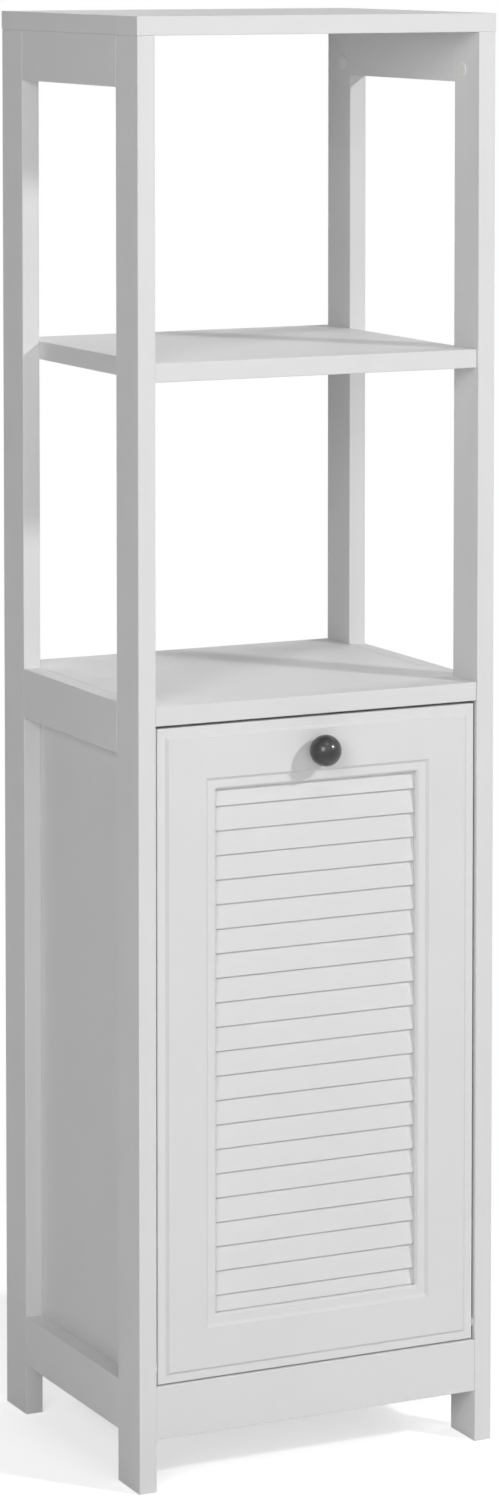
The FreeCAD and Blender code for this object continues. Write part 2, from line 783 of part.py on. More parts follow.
# ---------------------------------------------------------------------------
# Slotted stays, stop screws
# ---------------------------------------------------------------------------
def stay_tab_level():
    """Height at which the stay's centre line meets the door's back."""
    reach = door_back - pivot_y
    return pivot_z + (stay_radius ** 2 - reach ** 2) ** 0.5


def arc_band(inner_radius, outer_radius, from_angle, to_angle, x_low, x_high):
    """Sector of a ring about the hinge axis, as thick as its X range."""
    centre_angle = (from_angle + to_angle) / 2

    def at(radius, angle):
        y, z = on_arc(radius, angle)
        return Vec(x_low, y, z)

    edges = [Part.Arc(at(outer_radius, from_angle), at(outer_radius, centre_angle),
                      at(outer_radius, to_angle)).toShape(),
             Part.LineSegment(at(outer_radius, to_angle), at(inner_radius, to_angle)).toShape(),
             Part.Arc(at(inner_radius, to_angle), at(inner_radius, centre_angle),
                      at(inner_radius, from_angle)).toShape(),
             Part.LineSegment(at(inner_radius, from_angle), at(outer_radius, from_angle)).toShape()]
    return Part.Face(Part.Wire(edges)).extrude(Vec(x_high - x_low, 0, 0))


def stay(side):
    """Arc plate with a slot concentric with the hinge, and a tab on the door's back."""
    x_low, x_high = both_sides(side, stay_inner_x, stay_outer_x)
    half = stay_width / 2
    slot_from = stay_rest_angle
    slot_to = stay_rest_angle - tilt_limit
    inner, outer = stay_radius - half, stay_radius + half
    plate = arc_band(inner, outer, 90.0, slot_to - stay_end, x_low, x_high)
    ahead = block((x_low - cut_past, x_high + cut_past), (front, door_back),
                  (pivot_z, pivot_z + stay_radius + stay_width))
    plate = plate.cut(ahead)
    slot = arc_band(stay_radius - stay_slot_half, stay_radius + stay_slot_half,
                    slot_from, slot_to, x_low - cut_past, x_high + cut_past)
    ends = []
    for angle in (slot_from, slot_to):
        y, z = on_arc(stay_radius, angle)
        ends.append(rod(stay_slot_half, Vec(x_low - cut_past, y, z), X_AXIS, 0, stay_thickness + 2 * cut_past))
    plate = plate.cut([slot] + ends)
    level = stay_tab_level()
    tab = block(both_sides(side, stay_inner_x - stay_tab_width, stay_outer_x),
                (door_back, door_back + stay_thickness), (level - half, level + half))
    body = plate.fuse(tab).removeSplitter()
    holes = [countersunk_screw(point, way, small_screw_length, fit_clearance)
             for point, way in stay_screw_places() if point.x * side > 0]
    return cut_all(body, holes)


def stop_screw(side):
    """Shoulder screw in the side panel; its head keeps the stay on."""
    point = Vec(side * panel_inner_x, stop_y, stop_z)
    inward = X_AXIS * -side
    shoulder_end = stay_from_panel + stay_thickness + running_gap
    shank = rod(stop_radius, point, inward, -stop_in_panel, shoulder_end)
    collar = rod(stop_head_radius, point, inward, 0, stay_from_panel - running_gap)
    head = rod(stop_head_radius, point, inward, shoulder_end, shoulder_end + stop_head_height)
    return shank.fuse([collar, head]).removeSplitter()


# ---------------------------------------------------------------------------
# Laundry bag on its wire frame
# ---------------------------------------------------------------------------
wire_front = door_back + bag_frame_gap + wire_radius
wire_back = wire_front + bag_frame_depth


def rounded_loop(half_x, y_low, y_high, radius, z):
    """Closed wire: a rectangle with round corners at one level."""
    turn = radius * (1 - cos(radians(45)))
    right, left = half_x, -half_x
    corners = [((right, y_low), (-1, 1)), ((right, y_high), (-1, -1)),
               ((left, y_high), (1, -1)), ((left, y_low), (1, 1))]
    arcs = []
    for index, ((x, y), (in_x, in_y)) in enumerate(corners):
        along_x = Vec(x + in_x * radius, y, z)
        along_y = Vec(x, y + in_y * radius, z)
        middle = Vec(x + in_x * turn, y + in_y * turn, z)
        ends = (along_x, along_y) if index % 2 == 0 else (along_y, along_x)
        arcs.append((ends[0], middle, ends[1]))
    edges = []
    for index, (start, middle, end) in enumerate(arcs):
        edges.append(Part.Arc(start, middle, end).toShape())
        edges.append(Part.LineSegment(end, arcs[(index + 1) % 4][0]).toShape())
    return Part.Wire(edges)


def bag_frame():
    """Closed loop of round wire, bent at its four corners."""
    straight_x = bag_frame_half_width - bag_frame_corner
    level = (bag_frame_height - 2 * wire_radius, bag_frame_height + 2 * wire_radius)
    reach = bag_frame_corner + 2 * wire_radius
    bars = [rod(wire_radius, Vec(0, y, bag_frame_height), X_AXIS, -straight_x, straight_x)
            for y in (wire_front, wire_back)]
    for side in SIDES:
        bars.append(rod(wire_radius, Vec(side * bag_frame_half_width, 0, bag_frame_height), Y_AXIS,
                        wire_front + bag_frame_corner, wire_back - bag_frame_corner))
        for y, outward in ((wire_front + bag_frame_corner, -1), (wire_back - bag_frame_corner, 1)):
            centre = Vec(side * straight_x, y, bag_frame_height)
            ring = Part.makeTorus(bag_frame_corner, wire_radius, centre, Z_AXIS)
            quarter = block(sorted((centre.x, centre.x + side * reach)),
                            sorted((centre.y, centre.y + outward * reach)), level)
            bars.append(ring.common(quarter))
    return bars[0].fuse(bars[1:]).removeSplitter()


def frame_clip(side):
    """Strap clip: a plate on the stile's back, rolled round the wire frame's front bar."""
    x_pair = (side * clip_x - clip_width / 2, side * clip_x + clip_width / 2)
    wire = Vec(x_pair[0], wire_front, bag_frame_height)
    hug = wire_radius + fit_clearance
    roll = rod(clip_outer, wire, X_AXIS, 0, clip_width)
    web_low = bag_frame_height - clip_outer
    web = block(x_pair, (door_back, wire_front), (web_low, web_low + clip_wall))
    plate = block(x_pair, (door_back, door_back + clip_wall),
                  (bag_frame_height - clip_plate_height, bag_frame_height))
    bore = rod(hug, wire, X_AXIS, -cut_past, clip_width + cut_past)
    holes = [bore] + [countersunk_screw(point, way, small_screw_length, fit_clearance)
                      for point, way in clip_screw_places()]
    return roll.fuse([web, plate]).cut(holes).removeSplitter()


def bag_section(level, shrink):
    """Outline of the bag at a level, drawn in by a shrink past its taper."""
    share = (bag_rim - level) / (bag_rim - bag_bottom)
    side_in = bag_taper_side * share + shrink
    depth_in = bag_taper_depth * share + shrink
    return rounded_loop(bag_frame_half_width - side_in, wire_front + depth_in, wire_back - depth_in,
                        bag_frame_corner - shrink, level)


clip_outer = wire_radius + fit_clearance + clip_wall
bag_rim = bag_frame_height - clip_outer - running_gap


def laundry_bag():
    """Open-topped bag with a thin wall and a flat bottom."""
    outer = Part.makeLoft([bag_section(bag_bottom, 0), bag_section(bag_rim, 0)], True, True)
    inner = Part.makeLoft([bag_section(bag_bottom + bag_wall, bag_wall),
                           bag_section(bag_rim, bag_wall)], True, True)
    above = Part.Face(bag_section(bag_rim, bag_wall)).extrude(Vec(0, 0, bag_wall))
    return outer.cut([inner, above])


# ---------------------------------------------------------------------------
# Magnetic catch
# ---------------------------------------------------------------------------
catch_front = door_back + strike_thickness + running_gap


def catch_screw_places():
    x = (magnet_width + catch_width) / 4
    z = cabinet_under - catch_height
    return [(Vec(side * x, catch_front + catch_depth / 2, z), Z_AXIS) for side in SIDES]


def catch_screw_holes():
    return [countersunk_screw(point, way, catch_height + small_screw_length, fit_clearance)
            for point, way in catch_screw_places()]


def magnet_box(clearance=0.0):
    half = magnet_width / 2 + clearance
    z_middle = cabinet_under - catch_height / 2 + magnet_above_middle
    half_z = magnet_height / 2 + clearance
    return block((-half, half), (catch_front, catch_front + magnet_depth + clearance),
                 (z_middle - half_z, z_middle + half_z))


def catch_body():
    half = catch_width / 2
    body = block((-half, half), (catch_front + magnet_proud, catch_front + catch_depth),
                 (cabinet_under - catch_height, cabinet_under))
    uprights = [edge for edge in body.Edges if edge.BoundBox.ZLength > catch_height - ROUNDING]
    body = body.makeFillet(catch_corner, uprights)
    return body.cut([magnet_box(fit_clearance)] + catch_screw_holes())


def strike_plate():
    half = strike_width / 2
    body = block((-half, half), (door_back, door_back + strike_thickness),
                 (strike_middle - strike_height / 2, strike_middle + strike_height / 2))
    corners = [edge for edge in body.Edges if edge.BoundBox.YLength > strike_thickness - ROUNDING]
    point, way = strike_screw_place()
    return body.makeFillet(catch_corner, corners).cut(
        countersunk_screw(point, way, small_screw_length, fit_clearance))


# ---------------------------------------------------------------------------
# Every sub-part by name
# ---------------------------------------------------------------------------
def build():
    all_cams = side_rail_cams + cams_in_boards
    front_y = (front, front_post_back)
    back_y = (back_post_front, back)
    parts = {
        "top_board": top_board(),
        "front_left_post": post(-1, front_y),
        "front_right_post": post(1, front_y),
        "back_left_post": post(-1, back_y),
        "back_right_post": post(1, back_y),
        "middle_shelf": shelf(middle_shelf_top, middle_shelf_recess, middle_cams, middle_dowels),
        "cabinet_top_shelf": shelf(cabinet_top, cabinet_top_recess, cabinet_cams, cabinet_dowels,
                                   catch_screw_holes()),
        "front_bottom_rail": bottom_rail(front_rail_front, front_rail_height,
                                         front_rail_cams, front_rail_dowels),
        "back_bottom_rail": bottom_rail(back_rail_back - board, rail_height,
                                        back_rail_cams, back_rail_dowels),
        "left_side_panel": side_panel(-1),
        "right_side_panel": side_panel(1),
        "bottom_panel": bottom_panel(),
        "back_panel": back_panel(),
        "catch_body": catch_body(),
        "catch_magnet": magnet_box(),
        "strike_plate": strike_plate(),
        "left_stay": stay(-1),
        "right_stay": stay(1),
        "knob": knob(),
        "knob_screw": knob_screw(),
        "bag_frame": bag_frame(),
        "laundry_bag": laundry_bag(),
    }
    for side, word in zip(SIDES, ("left", "right")):
        for level in side_rail_tops:
            parts[f"{level}_{word}_rail"] = side_rail(side, level)
    parts.update(door_pieces())
    strike_point, strike_way = strike_screw_place()
    groups = {
        "cam_locks": [joint.cam() for joint in all_cams],
        "cam_bolts": [joint.bolt() for joint in all_cams],
        "cover_caps": [joint.cap() for joint in side_rail_fittings["top"][0] + middle_cams],
        "dowels": [peg.peg() for peg in dowels_in_posts],
        "top_board_screws": [countersunk_screw(point, way, top_screw_length)
                             for point, way in top_screw_places()],
        "side_panel_screws": [countersunk_screw(point, way, panel_screw_length)
                              for point, way in panel_screw_places()],
        "back_panel_screws": [pan_screw(point, way, back_screw_length)
                              for point, way in back_screw_places()],
        "catch_screws": [countersunk_screw(point, way, catch_height + small_screw_length)
                         for point, way in catch_screw_places()],
        "strike_screw": [countersunk_screw(strike_point, strike_way, small_screw_length)],
        "stay_screws": [countersunk_screw(point, way, small_screw_length)
                        for point, way in stay_screw_places()],
        "stop_screws": [stop_screw(side) for side in SIDES],
        "pivot_bushes": [pivot_bush(side) for side in SIDES],
        "pivot_pins": [pin_solid(side) for side in SIDES],
        "bag_frame_clips": [frame_clip(side) for side in SIDES],
        "clip_screws": [countersunk_screw(point, way, small_screw_length)
                        for point, way in clip_screw_places()],
    }
    for name, solids in groups.items():
        parts[name] = Part.makeCompound(solids)
    return parts


def main():
    os.makedirs("parts", exist_ok=True)
    for name, shape in build().items():
        shape.exportStep(f"parts/{name}.step")
        print(f"{name}: {len(shape.Solids)} solid(s), {shape.Volume / 1000:.1f} cm3, valid {shape.isValid()}")


main()
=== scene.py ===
import json
import math

import bmesh
import bpy
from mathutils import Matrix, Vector, noise


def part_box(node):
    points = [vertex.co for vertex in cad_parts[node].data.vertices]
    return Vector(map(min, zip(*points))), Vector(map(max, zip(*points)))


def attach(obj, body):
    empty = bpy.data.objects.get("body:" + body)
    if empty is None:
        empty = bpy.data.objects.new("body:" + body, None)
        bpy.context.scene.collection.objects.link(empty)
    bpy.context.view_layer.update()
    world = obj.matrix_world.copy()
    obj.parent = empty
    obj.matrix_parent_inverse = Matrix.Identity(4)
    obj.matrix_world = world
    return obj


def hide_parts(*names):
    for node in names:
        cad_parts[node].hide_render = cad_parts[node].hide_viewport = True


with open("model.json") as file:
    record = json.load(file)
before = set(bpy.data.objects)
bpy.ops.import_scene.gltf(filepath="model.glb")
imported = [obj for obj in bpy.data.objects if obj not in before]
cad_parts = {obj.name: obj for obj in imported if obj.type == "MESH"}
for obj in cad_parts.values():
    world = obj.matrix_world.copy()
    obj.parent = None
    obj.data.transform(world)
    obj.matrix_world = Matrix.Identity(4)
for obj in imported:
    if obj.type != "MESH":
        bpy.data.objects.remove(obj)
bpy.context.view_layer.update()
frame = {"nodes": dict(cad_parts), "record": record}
nodes = frame["nodes"]

# ---------------------------------------------------------------------------
# Sizes in metres that the added pieces share with the model
# ---------------------------------------------------------------------------
WIRE_RADIUS = 0.003
wire_low, wire_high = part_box("bag_frame")
RING_X = wire_high.x - WIRE_RADIUS              # wire's centre line
RING_FRONT = wire_low.y + WIRE_RADIUS
RING_BACK = wire_high.y - WIRE_RADIUS
RING_Z = (wire_low.z + wire_high.z) / 2
RING_CORNER = 0.014
bag_low, bag_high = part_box("laundry_bag")
BAG_RIM = bag_high.z
BAG_BOTTOM = bag_low.z
CLOTH_TOP = BAG_RIM - 0.002                     # upper edge of the cloth, under the casing
BAG_TAPER_X = 0.014                             # how far each side draws in towards the bottom
BAG_TAPER_Y = 0.009
CLIP_OUTER_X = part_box("bag_frame_clips")[1].x
CLIP_WIDTH = 0.014
CLIP_CLEARANCE = 0.0025                         # between a clip and the casing's cut edge
field_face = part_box("door_left_stile")[0].y     # front of the door's raised field
slats_low, slats_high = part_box("louver_slats")
HOUSING_DEPTH = 0.0049                          # how far the model's slats run into the stiles
OPENING_X = slats_high.x - HOUSING_DEPTH
SLAT_COUNT = 22
SLAT_PITCH = 0.02475
SLAT_END_GAP = 0.00005                          # between a slat's end and the stile
SLAT_FOOT_GAP = 0.0004                          # under the trimmed last slat
# These four fit the photo's shadow lines; the model's own slats are thicker and lean more.
SLAT_LENGTH = 0.0272                            # along the slope
SLAT_THICKNESS = 0.0024
SLAT_LEAN = 7.5                                 # degrees from upright
SLAT_DEPTH = 0.0076                             # lower front edge behind the raised field


# ---------------------------------------------------------------------------
# Camera, in pixels of the 499 x 1504 frame, degrees and metres, and the light
# ---------------------------------------------------------------------------
PHOTO_HEIGHT = 1504
CAMERA_FOCUS = 4704.5
CAMERA_AXIS_ROW = 250.0
CAMERA_YAW = 26.135
CAMERA_PITCH = 3.936
CAMERA_PLACE = (-2.1207, -4.3161, 1.5574)
ROOM_LEVEL = 0.07
FLOOR_GLOW = 0.55
FLOOR_RADIUS = 9.0
SHADOW_FULL = 0.5                               # from the middle, where the floor's shadow starts to fade
SHADOW_GONE = 1.5                               # and where it has gone


# ---------------------------------------------------------------------------
# Materials
# ---------------------------------------------------------------------------
class Material:
    """A node material under construction; each method adds nodes and links them."""

    def __init__(self, name):
        self.material = bpy.data.materials.new(name)
        self.material.use_nodes = True
        self.tree = self.material.node_tree
        self.shader = self.tree.nodes["Principled BSDF"]
        self.coords = self.tree.nodes.new("ShaderNodeTexCoord")

    def set(self, **values):
        for key, value in values.items():
            self.shader.inputs[key.replace("_", " ")].default_value = value
        return self

    def noise(self, scale, detail=2.0, stretch=(1, 1, 1), roughness=0.5):
        """Noise in the piece's own coordinates, in metres."""
        mapping = self.tree.nodes.new("ShaderNodeMapping")
        mapping.inputs["Scale"].default_value = stretch
        self.tree.links.new(self.coords.outputs["Object"], mapping.inputs["Vector"])
        texture = self.tree.nodes.new("ShaderNodeTexNoise")
        texture.inputs["Scale"].default_value = scale
        texture.inputs["Detail"].default_value = detail
        texture.inputs["Roughness"].default_value = roughness
        self.tree.links.new(mapping.outputs["Vector"], texture.inputs["Vector"])
        return texture.outputs["Fac"]

    def spread(self, factor, low, high, start=0.3, end=0.7):
        """Maps a factor between two numbers."""
        ranged = self.tree.nodes.new("ShaderNodeMapRange")
        for key, value in (("From Min", start), ("From Max", end), ("To Min", low), ("To Max", high)):
            ranged.inputs[key].default_value = value
        self.tree.links.new(factor, ranged.inputs["Value"])
        return ranged.outputs["Result"]

    def blend(self, factor, low, high, start=0.3, end=0.7):
        """Mixes two colours by a factor."""
        ramp = self.tree.nodes.new("ShaderNodeValToRGB")
        ramp.color_ramp.elements[0].position = start
        ramp.color_ramp.elements[0].color = (*low, 1)
        ramp.color_ramp.elements[1].position = end
        ramp.color_ramp.elements[1].color = (*high, 1)
        self.tree.links.new(factor, ramp.inputs["Fac"])
        return ramp.outputs["Color"]

    def math(self, operation, first, second):
        node = self.tree.nodes.new("ShaderNodeMath")
        node.operation = operation
        for socket, value in zip(node.inputs, (first, second)):
            if isinstance(value, (int, float)):
                socket.default_value = value
            else:
                self.tree.links.new(value, socket)
        return node.outputs["Value"]

    def into(self, key, output):
        self.tree.links.new(output, self.shader.inputs[key])
        return self

    def bump(self, *layers):
        """Stacks (height, strength, distance in metres) layers into the shader's normal."""
        normal = None
        for height, strength, distance in layers:
            node = self.tree.nodes.new("ShaderNodeBump")
            node.inputs["Strength"].default_value = strength
            node.inputs["Distance"].default_value = distance
            self.tree.links.new(height, node.inputs["Height"])
            if normal:
                self.tree.links.new(normal, node.inputs["Normal"])
            normal = node.outputs["Normal"]
        return self.into("Normal", normal)


def white_paint(name, tone, roughness=0.52):
    """Satin sprayed paint on fibreboard: faint orange peel, a cloudier sheen, a slight drift in tone."""
    m = Material(name)
    low, high = (tuple(tone * share for _ in range(3)) for share in (0.985, 1.01))
    m.into("Base Color", m.blend(m.noise(7, 4, roughness=0.6), low, high))
    m.into("Roughness", m.spread(m.noise(24, 5), roughness - 0.05, roughness + 0.05))
    m.bump((m.noise(160, 2), 0.06, 0.0006), (m.noise(900, 1), 0.05, 0.0002))
    return m.set(IOR=1.46, Specular_IOR_Level=0.22).material


def board_face():
    """White foil on thin hardboard: smoother, with a faint linen grain."""
    m = Material("back_board")
    m.into("Base Color", m.blend(m.noise(10, 3), (0.79, 0.79, 0.78), (0.82, 0.82, 0.81)))
    m.into("Roughness", m.spread(m.noise(60, 3), 0.48, 0.58))
    m.bump((m.noise(1500, 1, (1, 1, 0.15)), 0.08, 0.0002), (m.noise(1500, 1, (0.15, 1, 1)), 0.06, 0.0002))
    return m.material


def black_knob():
    """Satin black stoved enamel on turned metal."""
    m = Material("black_knob")
    m.into("Base Color", m.blend(m.noise(90, 4), (0.012, 0.012, 0.013), (0.020, 0.020, 0.021)))
    m.into("Roughness", m.spread(m.noise(300, 3), 0.26, 0.36))
    m.bump((m.noise(1100, 2), 0.10, 0.0001))
    return m.set(Coat_Weight=0.4, Coat_Roughness=0.10).material


def zinc_steel(name, tone, roughness):
    """Plated steel with fine drawing lines and a cloudy passivated film."""
    m = Material(name)
    film = m.noise(120, 5, roughness=0.65)
    cool, warm = (tuple(tone * c for c in tint) for tint in ((0.93, 0.95, 1.0), (1.06, 1.04, 0.98)))
    m.into("Base Color", m.blend(film, cool, warm))
    m.into("Roughness", m.spread(m.noise(400, 3, (1, 1, 0.08)), roughness - 0.08, roughness + 0.08))
    m.bump((m.noise(2200, 1, (1, 1, 0.06)), 0.08, 0.0001))
    return m.set(Metallic=1.0).material


def bare_beech():
    """Fluted beech peg: close straight grain with short dark rays."""
    m = Material("bare_beech")
    grain = m.noise(420, 4, (0.08, 1, 1))
    m.into("Base Color", m.blend(grain, (0.46, 0.29, 0.16), (0.66, 0.47, 0.30)))
    m.into("Roughness", m.spread(grain, 0.75, 0.6))
    m.bump((m.noise(900, 3, (0.05, 1, 1)), 0.25, 0.0002))
    return m.material


def moulded_plastic():
    """White moulded nylon with a fine spark-eroded surface."""
    m = Material("white_plastic")
    m.into("Base Color", m.blend(m.noise(60, 3), (0.80, 0.80, 0.79), (0.84, 0.84, 0.83)))
    m.into("Roughness", m.spread(m.noise(700, 2), 0.38, 0.52))
    m.bump((m.noise(2600, 2), 0.12, 0.0001))
    return m.set(Subsurface_Weight=0.04, Subsurface_Radius=(0.002, 0.002, 0.002)).material


def powder_coat():
    """White powder coat on bent wire: soft gloss with a visible pebble."""
    m = Material("white_wire")
    m.into("Base Color", m.blend(m.noise(80, 3), (0.76, 0.76, 0.75), (0.82, 0.82, 0.81)))
    m.into("Roughness", m.spread(m.noise(500, 2), 0.28, 0.42))
    m.bump((m.noise(1300, 2), 0.25, 0.0002))
    return m.material


def cotton(name, light, dark, thread=0.0009):
    """Plain-woven cotton on the cloth's own UV, in metres: two crossing yarns, slubs and a soft sheen."""
    m = Material(name)
    uv = m.tree.nodes.new("ShaderNodeSeparateXYZ")
    m.tree.links.new(m.coords.outputs["UV"], uv.inputs["Vector"])
    turns = math.pi / thread
    across = m.math("SINE", m.math("MULTIPLY", uv.outputs["X"], turns), 0)
    along = m.math("SINE", m.math("MULTIPLY", uv.outputs["Y"], turns), 0)
    weave = m.math("MULTIPLY", across, along)
    height = m.math("ABSOLUTE", m.math("ADD", weave, m.math("MULTIPLY", m.noise(2600, 1), 0.5)), 0)
    slub = m.noise(260, 4, (1, 1, 0.12), 0.7)
    tint = m.math("ADD", m.math("MULTIPLY", height, 0.35), m.math("MULTIPLY", slub, 0.65))
    m.into("Base Color", m.blend(tint, dark, light, 0.25, 0.75))
    m.into("Roughness", m.spread(slub, 0.95, 0.8))
    m.bump((m.noise(45, 4), 0.25, 0.002), (slub, 0.2, 0.0004), (height, 0.6, 0.0004))
    return m.set(Sheen_Weight=0.25, Sheen_Roughness=0.5).material


def thread():
    """Twisted sewing thread."""
    m = Material("sewing_thread")
    twist = m.noise(3000, 1)
    m.into("Base Color", m.blend(twist, (0.62, 0.58, 0.50), (0.82, 0.79, 0.72)))
    m.into("Roughness", m.spread(twist, 0.7, 0.5))
    m.bump((twist, 0.4, 0.0001))
    return m.set(Sheen_Weight=0.3).material


PAINT = white_paint("white_paint", 0.80)
finishes = {
    "white_paint": PAINT,
    "back_board": board_face(),
    "black_knob": black_knob(),
    "zinc_steel": zinc_steel("zinc_steel", 0.62, 0.34),
    "magnet_steel": zinc_steel("magnet_steel", 0.36, 0.42),
    "bare_beech": bare_beech(),
    "white_plastic": moulded_plastic(),
    "white_wire": powder_coat(),
    "bag_cloth": cotton("bag_cloth", (0.72, 0.66, 0.56), (0.52, 0.46, 0.37)),
}
for part in frame["record"]["subparts"]:
    node = nodes[part["node"]]
    node.data.materials.clear()
    node.data.materials.append(finishes[part["material_slot"]])


# ---------------------------------------------------------------------------
# Laundry bag: simulated cotton body, casing round the wire, seams and stitches
# ---------------------------------------------------------------------------
CLOTH = 0.0009                                  # thickness of the cotton
CELL = 0.0085                                   # cloth grid
RIM_ROWS = 3                                    # rows of cloth held under the casing
ring_middle = Vector((0, (RING_FRONT + RING_BACK) / 2, RING_Z))
ring_half = Vector((RING_X, (RING_BACK - RING_FRONT) / 2, 0))


def ring_walk(distance):
    """(point, outward direction) at a distance round the wire's loop, from the middle of the back bar."""
    straight_x, straight_y = ring_half.x - RING_CORNER, ring_half.y - RING_CORNER
    arc = RING_CORNER * math.pi / 2
    heading, at = 0.0, Vector((0, ring_half.y, 0))
    spans = [straight_x, arc, 2 * straight_y, arc, 2 * straight_x, arc, 2 * straight_y, arc, straight_x]
    for index, span in enumerate(spans):
        step = min(distance, span)
        if index % 2 == 0:
            at = at + Vector((math.cos(heading), math.sin(heading), 0)) * step
        else:
            turn = -step / RING_CORNER
            inward = Vector((math.sin(heading), -math.cos(heading), 0)) * RING_CORNER
            centre = at + inward
            turned = heading + turn
            at = centre - Vector((math.sin(turned), -math.cos(turned), 0)) * RING_CORNER
            heading = turned
        distance -= step
        if distance <= 0:
            break
    outward = Vector((-math.sin(heading), math.cos(heading), 0))
    return ring_middle + at, outward


ring_length = 4 * (ring_half.x + ring_half.y - 2 * RING_CORNER) + 2 * math.pi * RING_CORNER


def add_object(name, mesh, material, smooth=True):
    """Turns a bmesh into a shown object."""
    data = bpy.data.meshes.new(name)
    bmesh.ops.recalc_face_normals(mesh, faces=mesh.faces)
    mesh.to_mesh(data)
    mesh.free()
    for polygon in data.polygons:
        polygon.use_smooth = smooth
    data.materials.append(material)
    made = bpy.data.objects.new(name, data)
    bpy.context.scene.collection.objects.link(made)
    return made


def bag_shape():
    """Open box of cloth below the wire: wall rows, then rings that close the bottom."""
    columns = round(ring_length / CELL)
    wall_rows = round((BAG_RIM - BAG_BOTTOM) / CELL)
    bottom_rings = 11
    mesh = bmesh.new()
    layer = mesh.loops.layers.uv.new("cut")
    rings, flat = [], []
    for row in range(wall_rows + 1):
        share = row / wall_rows
        z = CLOTH_TOP - (CLOTH_TOP - BAG_BOTTOM) * share
        ring = []
        for column in range(columns):
            point, outward = ring_walk(ring_length * column / columns)
            rel = point - ring_middle
            rel.x *= 1 - BAG_TAPER_X * share / ring_half.x
            rel.y *= 1 - BAG_TAPER_Y * share / ring_half.y
            spot = ring_middle + rel
            swell = noise.noise(Vector((spot.x * 14, spot.y * 14, z * 7))) * 0.004 * min(1, row / 8)
            ring.append(mesh.verts.new((spot.x + outward.x * swell, spot.y + outward.y * swell, z)))
        rings.append(ring)
    base = [v.co.copy() for v in rings[-1]]
    for step in range(1, bottom_rings):
        share = 1 - step / bottom_rings
        rings.append([mesh.verts.new((ring_middle.x + (c.x - ring_middle.x) * share,
                                      ring_middle.y + (c.y - ring_middle.y) * share,
                                      BAG_BOTTOM)) for c in base])
    step_u = ring_length / columns
    for index in range(len(rings) - 1):
        for column in range(columns):
            after = (column + 1) % columns
            face = mesh.faces.new((rings[index][column], rings[index + 1][column],
                                   rings[index + 1][after], rings[index][after]))
            if index < wall_rows:
                cut = [(column, index), (column, index + 1), (column + 1, index + 1), (column + 1, index)]
                for loop, (u, v) in zip(face.loops, cut):
                    loop[layer].uv = (u * step_u, -v * CELL)
            else:
                for loop in face.loops:
                    loop[layer].uv = loop.vert.co.xy
    centre = mesh.verts.new((ring_middle.x, ring_middle.y, BAG_BOTTOM))
    for column in range(columns):
        face = mesh.faces.new((rings[-1][column], centre, rings[-1][(column + 1) % columns]))
        for loop in face.loops:
            loop[layer].uv = loop.vert.co.xy
    return mesh, columns, wall_rows


def hang(cloth, pinned, frames=26, swell=0.006, sink=0.016, slip=0.012):
    """Lets the cloth settle from its pinned rim and leaves the result in the mesh.

    swell, sink and slip cap each point's move outward, inward and along the surface, in metres.
    """
    start = [v.co.copy() for v in cloth.data.vertices]
    normals = [v.normal.copy() for v in cloth.data.vertices]
    group = cloth.vertex_groups.new(name="rim")
    group.add(pinned, 1.0, "REPLACE")
    modifier = cloth.modifiers.new("cloth", "CLOTH")
    settings = modifier.settings
    settings.quality = 6
    settings.mass = 0.12
    settings.tension_stiffness = settings.compression_stiffness = 12
    settings.shear_stiffness = 4
    settings.bending_stiffness = 0.25
    settings.air_damping = 2
    settings.shrink_min = -0.045
    settings.use_pressure = True
    settings.uniform_pressure_force = 0.15
    settings.vertex_group_mass = "rim"
    modifier.collision_settings.use_collision = False
    scene = bpy.context.scene
    for step in range(1, frames + 1):
        scene.frame_set(step)
    settled = cloth.evaluated_get(bpy.context.evaluated_depsgraph_get()).to_mesh()
    moved = [v.co.copy() for v in settled.vertices]
    cloth.modifiers.remove(modifier)
    scene.frame_set(1)
    for vertex, was, now, normal in zip(cloth.data.vertices, start, moved, normals):
        shift = now - was
        out = shift.dot(normal)
        side = shift - normal * out
        limit = swell if out > 0 else sink
        out = limit * math.tanh(out / limit)
        if side.length > 0:
            side = side.normalized() * slip * math.tanh(side.length / slip)
        vertex.co = was + normal * out + side
    cloth.data.update()


def stitches(name, lines, material, pitch=0.0042, length=0.0030, radius=0.0003):
    """Row of sewn stitches along each line of (point, outward direction) pairs."""
    mesh = bmesh.new()
    for line in lines:
        gone, due = 0.0, pitch / 2
        for (a, out_a), (b, out_b) in zip(line, line[1:]):
            span = (b - a).length
            while due <= gone + span and span > 0:
                share = (due - gone) / span
                middle = a.lerp(b, share)
                out = out_a.lerp(out_b, share).normalized()
                ahead = (b - a).normalized()
                across = ahead.cross(out).normalized()
                hoops = []
                for along, fat in ((-0.5, 0.25), (-0.3, 0.9), (0.0, 1.0), (0.3, 0.9), (0.5, 0.25)):
                    hoop = []
                    for corner in range(6):
                        angle = math.tau * corner / 6
                        lift = out * (math.sin(angle) * fat * radius - abs(along) * 0.4 * radius)
                        hoop.append(mesh.verts.new(middle + ahead * along * length
                                                   + across * math.cos(angle) * fat * radius + lift))
                    hoops.append(hoop)
                for low, high in zip(hoops, hoops[1:]):
                    for corner in range(6):
                        other = (corner + 1) % 6
                        mesh.faces.new((low[corner], low[other], high[other], high[corner]))
                mesh.faces.new(hoops[0][::-1])
                mesh.faces.new(hoops[-1])
                due += pitch
            gone += span
    return add_object(name, mesh, material)


